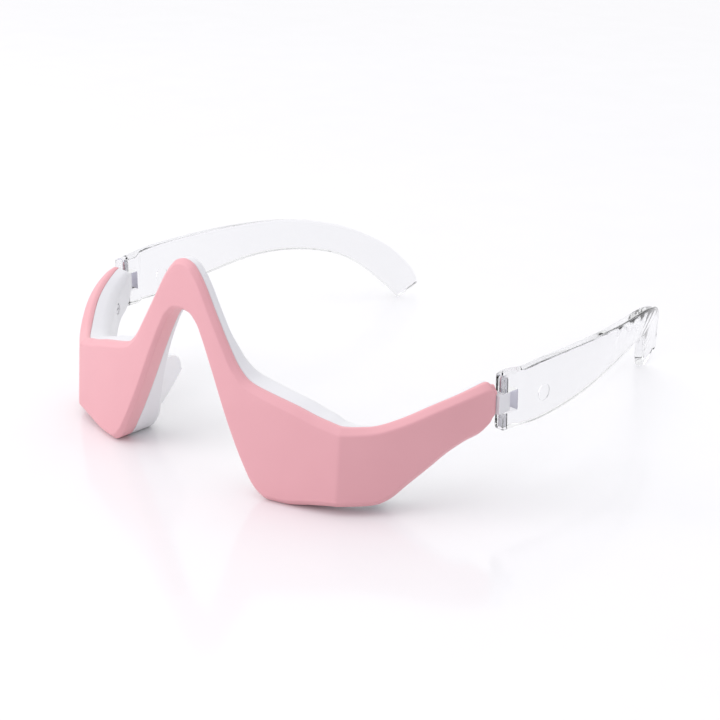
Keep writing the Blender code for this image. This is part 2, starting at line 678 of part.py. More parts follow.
def build_button(cover):
    seat = surface_frame(*BUTTON_AT, outer_face)
    cut(cover, prism("button_hole", circle(BUTTON_RADIUS + GAP, 28), -3.0, 3.0, seat))
    origin = seat.translation
    button = prism("power_button", circle(BUTTON_RADIUS, 28), -2.2, 0.6, seat,
                   "white_plastic", origin)
    join(button, prism("flange", circle(4.4, 28), -2.55, -2.0, seat))
    join(button, prism("plunger", circle(1.2, 16), -3.0, -2.4, seat))
    light = (-5.4, 1.6)
    cut(cover, prism("pipe_hole", circle(0.8 + GAP, 16, light), -3.0, 3.0, seat))
    prism("status_light", circle(0.8, 16, light), -4.6, 0.05, seat, "led_white")
    prism("power_switch", rectangle(3.4, 3.4), -4.9, -3.0 - BUTTON_TRAVEL - 0.25, seat,
          "chip_black")
    prism("key_board", rectangle(9.0, 4.2, 0.8, (-1.8, 0.4)), -5.8, -5.1, seat, "circuit")


def build_bridge_ribbon():
    """Flat ribbon that carries power from lobe to lobe over the nose."""
    rings = []
    for p in both_ways(STATIONS[:14]):
        inside = COVER_WALL + GAP + LIP_WALL
        high = top_edge(p) - inside * stretch(top_edge, p)
        low = bottom_edge(p) + inside * stretch(bottom_edge, p)
        middle = (high + low) / 2
        rings.append([point(p, depth, middle + rise)
                      for depth, rise in ((1.75, -0.9), (1.75, 0.9), (1.95, 0.9), (1.95, -0.9))])
    make("bridge_ribbon", ringed_body(rings), "copper_film")


def main():
    for old in list(bpy.data.objects):
        bpy.data.objects.remove(old)
    cover, back = build_shells()
    for side_name, side in SIDES.items():
        build_lobe(side_name, side, back)
        build_screws(side_name, side, cover, back)
        build_hinge(side_name, side, cover, back)
        build_temple(side_name, side)
        build_nose_pad(side_name, side)
        build_motor(side_name, side)
    build_left_electronics()
    build_right_electronics(back)
    build_button(cover)
    build_bridge_ribbon()


main()
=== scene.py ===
"""Looks of the under-eye massager: fine shells, clear temples, soft pads and small parts.

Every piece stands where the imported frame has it. Shapes repeat the part's own curves,
with round edges and a finer surface. Lengths are millimetres until a mesh is made.
"""

import bisect
import functools
import math

import bmesh
import bpy
from mathutils import Matrix, Vector


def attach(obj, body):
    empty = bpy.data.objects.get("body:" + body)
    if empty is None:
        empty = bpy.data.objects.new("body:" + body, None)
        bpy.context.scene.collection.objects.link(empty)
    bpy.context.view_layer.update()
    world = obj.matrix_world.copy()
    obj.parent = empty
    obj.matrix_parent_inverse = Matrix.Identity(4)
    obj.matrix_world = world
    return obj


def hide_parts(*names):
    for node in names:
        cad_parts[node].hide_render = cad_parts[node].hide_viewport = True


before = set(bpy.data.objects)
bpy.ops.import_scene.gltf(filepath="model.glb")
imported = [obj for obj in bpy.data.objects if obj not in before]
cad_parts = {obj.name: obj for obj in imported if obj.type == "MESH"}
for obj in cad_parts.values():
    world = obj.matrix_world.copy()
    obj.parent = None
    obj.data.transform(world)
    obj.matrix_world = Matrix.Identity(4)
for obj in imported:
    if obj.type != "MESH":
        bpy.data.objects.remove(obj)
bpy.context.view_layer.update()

MM = 0.001
GAP = 0.3
SEAM = 0.07                 # parting line between the cover and the white shell
MIDDLE_Y = 80.82
SIDES = {"left": 1, "right": -1}

# The band, as the part has it: outlines, depths and rounds along the distance from the
# centre line.
FRONT_BOW = 0.0034
LEAN = 0.083
LEAN_FROM = 2.0
CREASE = 50.0
CREASE_SOFT = 0.5           # half width over which the crease is rounded
SIDE_START_HEADING = 39.0
SIDE_TURN = 32.0
SIDE_TURN_LENGTH = 38.5
SIDE_TURN_POWER = 1.35
BAND_END = 91.7
END_WALL = 1.5              # solid stretch that closes each end of the band
STEEP_END = 86.0
END_SLANT = 0.4             # how fast the last stretch of the band draws in
END_LENGTH = 1.8
COVER_WALL = 1.4
BACK_WALL = 1.8
LIP_WALL = 0.9
LIP_LENGTH = 1.5
TOP_EDGE = ((0, 59.0), (2.8, 58.3), (5, 56.4), (7, 53.9), (10.8, 47.6), (16, 39.0),
            (19.4, 33.8), (22.5, 30.9), (26, 29.5), (36.9, 26.8), (45, 24.5), (50, 23.7),
            (56, 24.2), (60, 24.9), (65, 26.3), (75, 29.8), (85.5, 32.5), (89.3, 33.1),
            (91, 31.9))
BOTTOM_EDGE = ((0, 45.4), (2.2, 45.1), (5.2, 42.6), (7.3, 39.0), (11, 31.2),
               (16.3, 19.4), (20.3, 11.4), (22.8, 7.0), (25.3, 3.2), (27.6, 1.0),
               (30, 0.0), (35, 0.0), (43, 1.2), (50, 2.0), (57, 2.2), (60.5, 2.6),
               (63.8, 4.0), (68.6, 7.9), (73.7, 11.8), (78.8, 15.5), (83.8, 17.9),
               (87.3, 18.9), (89.6, 20.3), (91, 22.2))
RIM_TOP = ((0, 1.9), (15, 1.9), (22, 2.3), (30, 2.9), (50, 3.0), (65, 3.4), (91, 3.4))
RIM_BOTTOM = ((0, 5.2), (22, 5.4), (30, 6.0), (50, 5.0), (60, 3.4), (70, 3.0), (91, 3.2))
BODY_TOP = ((0, 4.2), (13.5, 4.2), (16.7, 5.2), (20, 7.2), (22.7, 9.0), (27, 10.0),
            (42, 10.2), (50, 9.6), (60, 8.6), (75, 7.8), (91, 6.9))
BODY_BOTTOM = ((0, 6.5), (5, 6.7), (9, 7.1), (12.7, 8.0), (16.5, 9.8), (20.5, 12.4),
               (25.6, 16.0), (31, 17.0), (38, 16.8), (50, 14.6), (60, 11.8), (75, 8.6),
               (91, 6.9))
COVER_ROUND_TOP = ((0, 1.1), (22, 1.2), (45, 1.5), (60, 2.2), (91, 2.2))
COVER_ROUND_BOTTOM = ((0, 1.0), (24, 1.3), (30, 1.7), (91, 1.7))
BACK_ROUND_TOP = ((0, 0.7), (14, 0.7), (22, 2.4), (30, 3.0), (80, 2.4), (91, 1.2))
BACK_ROUND_BOTTOM = ((0, 0.7), (14, 0.8), (19, 1.1), (23, 2.0), (28, 3.2), (34, 4.0),
                     (60, 3.4), (91, 1.6))
BACK_BOTTOM_SAG = ((0, 0), (54, 0), (60, 1.5), (65, 2.3), (72, 1.7), (80, 0.6), (91, 0))
# How far the top falls back from the front edge, per millimetre of depth.
TOP_SLOPE = ((0, 0), (46, 0), (54, 0.25), (60, 0.42), (80, 0.42), (91, 0.25))
DEPTH_TURN = ((0, 0), (25, 0), (38, 11), (50, 29), (58, 40), (66, 48), (78, 57), (91, 72))
STATION_STEP = 0.75

# Hinges and temples.
HINGE_X = 72.5
HINGE_Y = 47.8
PIN_RADIUS = 0.8
KNUCKLE_RADIUS = 2.2
TONGUE_RADIUS = 1.9
TONGUE_LOW = 23.8
TONGUE_HIGH = 28.9
TEMPLE_WIDEST_Y = 70.8
TEMPLE_HALF_WIDTH = 76.1
TEMPLE_THICKNESS = 2.8
TEMPLE_EDGE = 0.55          # radius of the temple's rounded corners
TEMPLE_UPPER = ((45.7, 33.3), (54, 33.9), (64, 34.2), (86, 33.6), (101, 32.8), (111, 32.0),
                (122, 30.3), (134.6, 26.7), (142.6, 23.0), (149.9, 18.3), (155.3, 12.6),
                (158.8, 7.0), (159.6, 3.4))
TEMPLE_LOWER = ((45.7, 18.8), (52, 18.5), (60, 18.0), (73, 18.7), (86, 20.1), (98, 21.6),
                (108, 22.1), (117, 21.5), (125, 20.0), (132, 17.6), (138.1, 13.7),
                (143.4, 8.4), (147.6, 3.8), (150.8, 0.0))
TEMPLE_LEAN = 0.75          # how far the lower edge shares the upper edge's place in plan
TEMPLE_STATIONS = 200
TEMPLE_LENGTH = 130.0       # about the length of the temple's edges
TEMPLE_END_ROUND = 0.6
SLOT_END = HINGE_Y + 3.0    # bottom of the slot that takes the tongue
SLOT_MOUTH = 40.0
SLOT_WIDTH = 16
DISC_AT = (63.3, 24.3)      # shallow moulded disc on the temple: y, z
DISC_RADIUS = 2.3

# Nose pads.
PAD_TOP = 25.6
PAD_FOOT = 8.2
PAD_REACH = 9.2
PAD_THICKNESS = 1.9
PAD_INSET = 2.2
PAD_DEEPEST = 0.34
PAD_STEPS = 56
PAD_ROOT = 1.6              # how far the pad is set into the shell

# Skin side of each lobe, and the button.
LOBE = 38.0
LOBE_HEIGHT = 15.5
ELECTRODE_OFFSETS = {"inner": -10.8, "outer": 12.6}
ELECTRODE_SIZE = (4.2, 10.0)
WINDOW_SIZE = (8.6, 9.0)
SCREWS = {"front": (58.6, 17.3), "rear": (78.4, 22.8)}
BUTTON_AT = (-68.0, 18.0)
BUTTON_RADIUS = 3.5
BUTTON_HEIGHT = 0.6
PLUNGER_RADIUS = 1.2
STATUS_LIGHT_AT = (-5.4, 1.6)   # from the middle of the button
STATUS_LIGHT_RADIUS = 0.8
PORT_AT = (-43.0, 10.1)
PORT_TURN = -16
PORT_SIZE = (9.3, 3.6)
SCREW_SINK_RADIUS = 1.75
SCREW_HEAD_RADIUS = 1.45
SCREW_HOLE_RADIUS = 0.95
SCREW_SHANK_RADIUS = 0.65
LENS_CLEARANCE = 0.3        # over the width and the height of a lens or a contact

# Camera: it looks at one point of the near side, from the photo's side and height.
VIEW_AZIMUTH = 41.403
VIEW_ELEVATION = 21.172
VIEW_DISTANCE = 0.41578
VIEW_TARGET = (0.06336, -0.07802, 0.04803)
VIEW_LENS = 87.5

# Studio: a soft overhead light, a bright backdrop and a dim side.
OVERHEAD = (-0.25, -0.35, 1.0)
BACKDROP = (-0.25, 0.96, 0.12)
STUDIO_LIGHT = (1.0, 1.0, 1.0)
STUDIO_DARK = (0.60, 0.585, 0.65)
OVERHEAD_ENERGY = 0.75
KEY_AT = (-0.55, -0.75, 0.45)
KEY_AIM = (0, -0.05, 0.02)
KEY_SIZE = (0.7, 0.7)
KEY_POWER = 3.6
FLOOR_REACH = 4.0


# ---------------------------------------------------------------- curves of the part

@functools.lru_cache(maxsize=None)
def slopes_of(points, level_start):
    steps = [(b[1] - a[1]) / (b[0] - a[0]) for a, b in zip(points, points[1:])]
    slopes = [0.0 if level_start else steps[0]]
    for before, after in zip(steps, steps[1:]):
        turns = before * after <= 0.0
        slopes.append(0.0 if turns else 2.0 * before * after / (before + after))
    slopes.append(steps[-1])
    return slopes


def smooth(points, where, level_start=False):
    """Height of the smooth curve through the points."""
    slopes = slopes_of(points, level_start)
    index = bisect.bisect_right([point[0] for point in points], where) - 1
    index = min(max(index, 0), len(points) - 2)
    (x0, y0), (x1, y1) = points[index], points[index + 1]
    span = x1 - x0
    u = min(max((where - x0) / span, 0.0), 1.0)
    rise = (3 - 2 * u) * u * u
    return (y0 + (y1 - y0) * rise
            + span * (slopes[index] * u * (1 - u) ** 2 - slopes[index + 1] * u * u * (1 - u)))


def top_edge(p):
    return smooth(TOP_EDGE, abs(p), True)


def bottom_edge(p):
    return smooth(BOTTOM_EDGE, abs(p), True)


def stretch(edge, p):
    """How much a wall thickness grows along z where the edge is steep."""
    step = 0.4
    low = min(abs(p), STEEP_END) - step
    rise = (edge(low + 2 * step) - edge(low)) / (2 * step)
    return math.sqrt(1.0 + min(rise * rise, 6.0))


@functools.lru_cache(maxsize=None)
def side_plan(length):
    """Plan position on the side panel, by its length from the crease."""
    x, y = CREASE, FRONT_BOW * CREASE ** 2
    steps = 40
    for step in range(steps):
        middle = length * (step + 0.5) / steps
        turn = SIDE_TURN * (middle / SIDE_TURN_LENGTH) ** SIDE_TURN_POWER
        heading = math.radians(SIDE_START_HEADING + turn)
        x += math.cos(heading) * length / steps
        y += math.sin(heading) * length / steps
    return x, y


def sharp_plan(reach):
    return (reach, FRONT_BOW * reach ** 2) if reach <= CREASE else side_plan(reach - CREASE)


@functools.lru_cache(maxsize=None)
def plan(reach):
    """Plan position along the band, with the crease softened."""
    if abs(reach - CREASE) > CREASE_SOFT:
        return sharp_plan(reach)
    spots = [sharp_plan(reach + CREASE_SOFT * share / 3) for share in range(-3, 4)]
    return sum(x for x, y in spots) / 7, sum(y for x, y in spots) / 7


@functools.lru_cache(maxsize=None)
def depth_heading(reach):
    turn = math.radians(smooth(DEPTH_TURN, reach))
    return math.sin(turn), math.cos(turn)


def point(p, depth, z):
    """A point of the body: p along the band, depth in from its outer face, z up."""
    reach = abs(p)
    x, y = plan(reach)
    across, back = depth_heading(reach)
    x -= across * depth
    y += back * depth + LEAN * (z - LEAN_FROM)
    return Vector((math.copysign(x, p), y, z))


def body_depth(p, z):
    """Depth of the skin-facing side at height z."""
    low, high = bottom_edge(p), top_edge(p)
    share = min(max((z - low) / (high - low), 0.0), 1.0)
    return smooth(BODY_BOTTOM, abs(p)) * (1 - share) + smooth(BODY_TOP, abs(p)) * share


def outer_face(p, z):
    return 0.0


def surface_frame(p, z, depth, faces_back=False):
    """Axes on a surface of the body: x along the band, y up, z out of the body."""
    along = point(p + 1, depth(p + 1, z), z) - point(p - 1, depth(p - 1, z), z)
    up = point(p, depth(p, z + 1), z + 1) - point(p, depth(p, z - 1), z - 1)
    if faces_back:
        along.negate()
    out = along.cross(up).normalized()
    up.normalize()
    across = up.cross(out)
    made = Matrix((across, up, out)).transposed().to_4x4()
    made.translation = point(p, depth(p, z), z)
    return made


# ---------------------------------------------------------------- mesh helpers

def make(name, mesh_edit, finish, sharp=40):
    """An object in the row frame from a bmesh in the part's millimetres."""
    bmesh.ops.recalc_face_normals(mesh_edit, faces=mesh_edit.faces)
    bmesh.ops.translate(mesh_edit, vec=(0, -MIDDLE_Y, 0), verts=mesh_edit.verts)
    bmesh.ops.scale(mesh_edit, vec=(MM, MM, MM), verts=mesh_edit.verts)
    mesh = bpy.data.meshes.new(name)
    mesh_edit.to_mesh(mesh)
    mesh_edit.free()
    mesh.shade_smooth()
    mesh.set_sharp_from_angle(angle=math.radians(sharp))
    mesh.materials.append(finish)
    made = bpy.data.objects.new(name, mesh)
    bpy.context.scene.collection.objects.link(made)
    return made


def combine(target, tool, operation):
    """Cut or join the target with a tool, which is then removed."""
    modifier = target.modifiers.new(tool.name, "BOOLEAN")
    modifier.operation = operation
    modifier.solver = "EXACT"
    modifier.object = tool
    bpy.context.view_layer.update()
    evaluated = target.evaluated_get(bpy.context.evaluated_depsgraph_get())
    mesh = bpy.data.meshes.new_from_object(evaluated)
    target.modifiers.clear()
    target.data = mesh
    bpy.data.objects.remove(tool)


def cut(target, tool):
    combine(target, tool, "DIFFERENCE")


def join(target, tool):
    combine(target, tool, "UNION")


def settle(made, sharp=35):
    """Clean up after the cuts: no stray corners, smooth where it is round."""
    mesh_edit = bmesh.new()
    mesh_edit.from_mesh(made.data)
    bmesh.ops.remove_doubles(mesh_edit, verts=mesh_edit.verts, dist=0.0008 * MM)
    bmesh.ops.dissolve_degenerate(mesh_edit, edges=mesh_edit.edges, dist=0.0008 * MM)
    mesh_edit.to_mesh(made.data)
    mesh_edit.free()
    made.data.shade_smooth()
    made.data.set_sharp_from_angle(angle=math.radians(sharp))


def rectangle(width, height, corner=0.0, centre=(0, 0), steps=10):
    cx, cy = centre
    if corner <= 0:
        return [(cx + sx * width / 2, cy + sy * height / 2)
                for sx, sy in ((-1, -1), (1, -1), (1, 1), (-1, 1))]
    outline = []
    for quarter, (sx, sy) in enumerate(((1, 1), (-1, 1), (-1, -1), (1, -1))):
        for step in range(steps + 1):
            angle = math.radians(90 * quarter + 90 * step / steps)
            outline.append((cx + sx * (width / 2 - corner) + corner * math.cos(angle),
                            cy + sy * (height / 2 - corner) + corner * math.sin(angle)))
    return outline


def circle(radius, sides=48, centre=(0, 0)):
    turns = (math.tau * side / sides for side in range(sides))
    return [(centre[0] + radius * math.cos(a), centre[1] + radius * math.sin(a)) for a in turns]


def prism_mesh(outline, low, high, seat):
    mesh_edit = bmesh.new()
    rings = [[mesh_edit.verts.new(seat @ Vector((x, y, z))) for x, y in outline]
             for z in (low, high)]
    mesh_edit.faces.new(reversed(rings[0]))
    mesh_edit.faces.new(rings[1])
    for index in range(len(outline)):
        after = (index + 1) % len(outline)
        mesh_edit.faces.new((rings[0][index], rings[0][after], rings[1][after],
                             rings[1][index]))
    return mesh_edit


def tool(outline, low, high, seat, name="tool"):
    """A plain prism that cuts or joins another piece."""
    return make(name, prism_mesh(outline, low, high, seat), FINISH["white"])


def stacked_mesh(outline_at, profile, seat, dome=0.0):
    """A plug whose outline changes with height: profile lists (inset, height)."""
    mesh_edit = bmesh.new()
    rings = []
    for inset, height in profile:
        rings.append([mesh_edit.verts.new(seat @ Vector((x, y, height)))
                      for x, y in outline_at(inset)])
    for low, high in zip(rings, rings[1:]):
        for index in range(len(low)):
            after = (index + 1) % len(low)
            mesh_edit.faces.new((low[index], low[after], high[after], high[index]))
    mesh_edit.faces.new(reversed(rings[0]))
    tip = mesh_edit.verts.new(seat @ Vector((0, 0, profile[-1][1] + dome)))
    for index in range(len(rings[-1])):
        after = (index + 1) % len(rings[-1])
        mesh_edit.faces.new((rings[-1][index], rings[-1][after], tip))
    return mesh_edit


def ringed_body(rings, hollow=None, first_wall=0, last_wall=0):
    """Skin of a row of rings. hollow is the run of corners of an open channel."""
    mesh_edit = bmesh.new()
    count = len(rings[0])
    inner = range(hollow[0] + 1, hollow[-1]) if hollow else ()
    last_open = len(rings) - 1 - last_wall
    corners = []
    for index, ring in enumerate(rings):
        walled = index < first_wall or index > last_open
        corners.append({spot: mesh_edit.verts.new(place) for spot, place in enumerate(ring)
                        if not (walled and spot in inner)})
    for index in range(len(rings) - 1):
        here, there = corners[index], corners[index + 1]
        spots = [spot for spot in range(count) if spot in here and spot in there]
        for spot, after in zip(spots, spots[1:] + spots[:1]):
            mesh_edit.faces.new((here[spot], here[after], there[after], there[spot]))
    if hollow:
        mesh_edit.faces.new([corners[first_wall][spot] for spot in hollow])
        mesh_edit.faces.new([corners[last_open][spot] for spot in hollow])
    mesh_edit.faces.new(list(corners[0].values()))
    mesh_edit.faces.new(list(corners[-1].values()))
    return mesh_edit


# ---------------------------------------------------------------- materials

def new_material(name):
    made = bpy.data.materials.new(name)
    made.use_nodes = True
    return made, made.node_tree.nodes, made.node_tree.links, made.node_tree.nodes["Principled BSDF"]


def noise_at(nodes, links, scale, detail=3.0, roughness=0.5):
    place = nodes.new("ShaderNodeTexCoord")
    noise = nodes.new("ShaderNodeTexNoise")
    noise.inputs["Scale"].default_value = scale
    noise.inputs["Detail"].default_value = detail
    noise.inputs["Roughness"].default_value = roughness
    links.new(place.outputs["Object"], noise.inputs["Vector"])
    return noise.outputs["Fac"]


def spread(nodes, links, value, low, high):
    """Map noise, which stays near its middle, to a range."""
    made = nodes.new("ShaderNodeMapRange")
    made.inputs["From Min"].default_value = 0.3
    made.inputs["From Max"].default_value = 0.7
    made.inputs["To Min"].default_value = low
    made.inputs["To Max"].default_value = high
    links.new(value, made.inputs["Value"])
    return made.outputs["Result"]


def tinted(nodes, links, value, dark, light):
    ramp = nodes.new("ShaderNodeValToRGB")
    ramp.color_ramp.elements[0].position = 0.3
    ramp.color_ramp.elements[0].color = (*dark, 1)
    ramp.color_ramp.elements[1].position = 0.7
    ramp.color_ramp.elements[1].color = (*light, 1)
    links.new(value, ramp.inputs["Fac"])
    return ramp.outputs["Color"]


def bumped(nodes, links, shader, height, distance, strength=1.0):
    bump = nodes.new("ShaderNodeBump")
    bump.inputs["Distance"].default_value = distance
    bump.inputs["Strength"].default_value = strength
    links.new(height, bump.inputs["Height"])
    links.new(bump.outputs["Normal"], shader.inputs["Normal"])


def grained(name, dark, light, roughness, grain, depth, **settings):
    """Moulded or painted plastic: slow colour drift, fine grain in bump and gloss."""
    made, nodes, links, shader = new_material(name)
    drift = noise_at(nodes, links, 60.0, 2.0)
    links.new(tinted(nodes, links, drift, dark, light), shader.inputs["Base Color"])
    fine = noise_at(nodes, links, grain, 4.0, 0.6)
    links.new(spread(nodes, links, fine, roughness - 0.05, roughness + 0.05),
              shader.inputs["Roughness"])
    bumped(nodes, links, shader, fine, depth)
    for socket, value in settings.items():
        shader.inputs[socket.replace("_", " ")].default_value = value
    return made


def brushed(name, colour, roughness, along=(1, 1, 12)):
    """Steel with fine lines. along stretches the noise that draws them."""
    made, nodes, links, shader = new_material(name)
    place = nodes.new("ShaderNodeTexCoord")
    mapping = nodes.new("ShaderNodeMapping")
    mapping.inputs["Scale"].default_value = along
    noise = nodes.new("ShaderNodeTexNoise")
    noise.inputs["Scale"].default_value = 900.0
    noise.inputs["Detail"].default_value = 4.0
    links.new(place.outputs["Object"], mapping.inputs["Vector"])
    links.new(mapping.outputs["Vector"], noise.inputs["Vector"])
    fine = noise.outputs["Fac"]
    light = tuple(min(1.0, channel * 1.12) for channel in colour)
    links.new(tinted(nodes, links, fine, colour, light), shader.inputs["Base Color"])
    links.new(spread(nodes, links, fine, roughness - 0.06, roughness + 0.08),
              shader.inputs["Roughness"])
    bumped(nodes, links, shader, fine, 0.000004)
    shader.inputs["Metallic"].default_value = 1.0
    return made


def clear_plastic():
    """Clear arms: a light tint and a low index, so that their edges stay pale."""
    made, nodes, links, shader = new_material("clear_polycarbonate")
    drift = noise_at(nodes, links, 25.0, 1.0)
    links.new(tinted(nodes, links, drift, (0.900, 0.902, 0.912), (0.915, 0.916, 0.924)),
              shader.inputs["Base Color"])
    links.new(spread(nodes, links, noise_at(nodes, links, 400.0), 0.0, 0.03),
              shader.inputs["Roughness"])
    bumped(nodes, links, shader, drift, 0.000002, 0.2)
    shader.inputs["IOR"].default_value = 1.30
    shader.inputs["Transmission Weight"].default_value = 1.0
    return made


def silicone():
    made = grained("silicone", (0.88, 0.885, 0.90), (0.91, 0.915, 0.93), 0.34, 2500.0, 0.000006,
                   Subsurface_Weight=0.35, Subsurface_Scale=0.002, IOR=1.41)
    made.node_tree.nodes["Principled BSDF"].inputs["Subsurface Radius"].default_value = (
        1.0, 1.0, 1.1)
    return made


def circuit():
    """Green solder mask with a lighter maze of tracks under it."""
    made, nodes, links, shader = new_material("circuit_board")
    place = nodes.new("ShaderNodeTexCoord")
    tracks = nodes.new("ShaderNodeTexBrick")
    tracks.inputs["Scale"].default_value = 320.0
    tracks.inputs["Mortar Size"].default_value = 0.07
    tracks.inputs["Color1"].default_value = (0.015, 0.13, 0.06, 1)
    tracks.inputs["Color2"].default_value = (0.02, 0.17, 0.075, 1)
    tracks.inputs["Mortar"].default_value = (0.05, 0.30, 0.13, 1)
    links.new(place.outputs["Object"], tracks.inputs["Vector"])
    links.new(tracks.outputs["Color"], shader.inputs["Base Color"])
    fine = noise_at(nodes, links, 1500.0)
    links.new(spread(nodes, links, fine, 0.22, 0.34), shader.inputs["Roughness"])
    bumped(nodes, links, shader, tracks.outputs["Fac"], 0.00002)
    return made


FINISH = {
    "pink": grained("pink_soft_touch", (0.800, 0.400, 0.432), (0.822, 0.418, 0.450), 0.50,
                    3000.0, 0.000010, Sheen_Weight=0.12, Sheen_Roughness=0.4),
    "white": grained("white_satin_plastic", (0.800, 0.803, 0.822), (0.825, 0.828, 0.845), 0.36,
                     2200.0, 0.000006),
    "clear": clear_plastic(),
    # Lavender-grey, partly see-through finish for the end face of the temple slot: painted shade
    # standing in for the grey that the clear arm shows there.
    "slot_end_shade": grained("slot_end_painted_shade", (0.66, 0.65, 0.74), (0.72, 0.71, 0.79), 0.55,
                      2000.0, 0.000008, Transmission_Weight=0.25, IOR=1.3),
    "silicone": silicone(),
    "steel": brushed("bright_steel", (0.62, 0.62, 0.64), 0.22),
    "contact": brushed("contact_steel", (0.72, 0.72, 0.74), 0.12, (1, 1, 1)),
    "lens": grained("red_lens", (0.62, 0.05, 0.045), (0.72, 0.08, 0.06), 0.12,
                    1500.0, 0.000004, Transmission_Weight=0.55, IOR=1.5),
    "circuit": circuit(),
    "chip": grained("black_epoxy", (0.018, 0.018, 0.020), (0.032, 0.032, 0.034), 0.45,
                    2600.0, 0.000012),
    "film": grained("copper_film", (0.60, 0.28, 0.10), (0.76, 0.40, 0.17), 0.28,
                    900.0, 0.000010, Metallic=0.6),
    "foil": grained("cell_foil", (0.55, 0.56, 0.58), (0.66, 0.67, 0.69), 0.30,
                    500.0, 0.000030, Metallic=0.9),
    "led": grained("led_epoxy", (0.88, 0.82, 0.64), (0.95, 0.90, 0.74), 0.25,
                   1800.0, 0.000004),
}
# Finish of each CAD node that is shown as it is, by the start of its name.
CARRIED = {
    "battery": "foil", "bridge_ribbon": "film", "controller_chip": "chip",
    "heating_film": "film", "key_board": "circuit", "led_": "led", "light_board": "circuit",
    "main_board": "circuit", "motor_case": "steel", "motor_weight": "steel",
    "power_switch": "chip", "pulse_coil": "chip", "usb_socket": "steel",
}


# ---------------------------------------------------------------- shells

def chamfer(size, rising):
    """A cut corner with soft edges, as (depth, height from the edge)."""
    soft = size * 0.3
    slant = soft * math.sqrt(0.5)
    bends = (((0, size + soft), (0, size), (slant, size - slant)),
             ((size - slant, slant), (size, 0), (size + soft, 0)))
    spots = []
    for start, middle, end in bends:
        for step in range(6):
            t = step / 5
            spots.append(tuple((1 - t) ** 2 * a + 2 * t * (1 - t) * b + t * t * c
                               for a, b, c in zip(start, middle, end)))
    return spots[::-1] if rising else spots


def fallen(p, depth, z):
    """Height of a point of the top, which falls towards the back of the side panels."""
    return z - smooth(TOP_SLOPE, abs(p)) * depth


def fine_stations():
    count = round(BAND_END / STATION_STEP)
    spots = [BAND_END * step / count for step in range(count + 1)]
    near_crease = [CREASE + CREASE_SOFT * share / 3 for share in range(-4, 5)]
    near_end = [BAND_END - END_LENGTH * (1 - step / 10) for step in range(10)]
    spots = [p for p in spots if abs(p - CREASE) > CREASE_SOFT * 1.5
             and p <= BAND_END - END_LENGTH - 0.2]
    spots = sorted(spots + near_crease + near_end + [BAND_END])
    return [-p for p in reversed(spots[1:])] + spots


def end_inset(p):
    """How far the outer face draws in towards the ends of the band."""
    past = abs(p) - (BAND_END - END_LENGTH)
    return END_SLANT * (math.hypot(past, 0.4) - 0.4) if past > 0 else 0.0


def cover_ring(p):
    reach = abs(p)
    high, low = top_edge(p), bottom_edge(p)
    grow_high, grow_low = stretch(top_edge, p), stretch(bottom_edge, p)
    rim_high, rim_low = smooth(RIM_TOP, reach), smooth(RIM_BOTTOM, reach)
    inset = end_inset(p)
    soft = 0.15
    top = chamfer(smooth(COVER_ROUND_TOP, reach), False) + [
        (rim_high - soft, 0), (rim_high - soft * 0.3, soft * 0.3), (rim_high, soft)]
    bottom = [(rim_low, soft), (rim_low - soft * 0.3, soft * 0.3), (rim_low - soft, 0)]
    bottom += chamfer(smooth(COVER_ROUND_BOTTOM, reach), True)
    ring = [(depth + inset * (1 - depth / rim_low), low + height * grow_low)
            for depth, height in bottom]
    face_low, face_high = ring[-1][1], high - top[0][1] * grow_high
    for step in range(1, 6):
        ring.append((inset, face_low + (face_high - face_low) * step / 6))
    for depth, height in top:
        ring.append((depth + inset * (1 - depth / rim_high),
                     fallen(p, depth, high - height * grow_high)))
    wall_high, wall_low = high - COVER_WALL * grow_high, low + COVER_WALL * grow_low
    ring += [(rim_high, fallen(p, rim_high, wall_high)),
             (COVER_WALL, fallen(p, COVER_WALL, wall_high)), (COVER_WALL, wall_low),
             (rim_low, wall_low)]
    return [point(p, depth, z) for depth, z in ring]


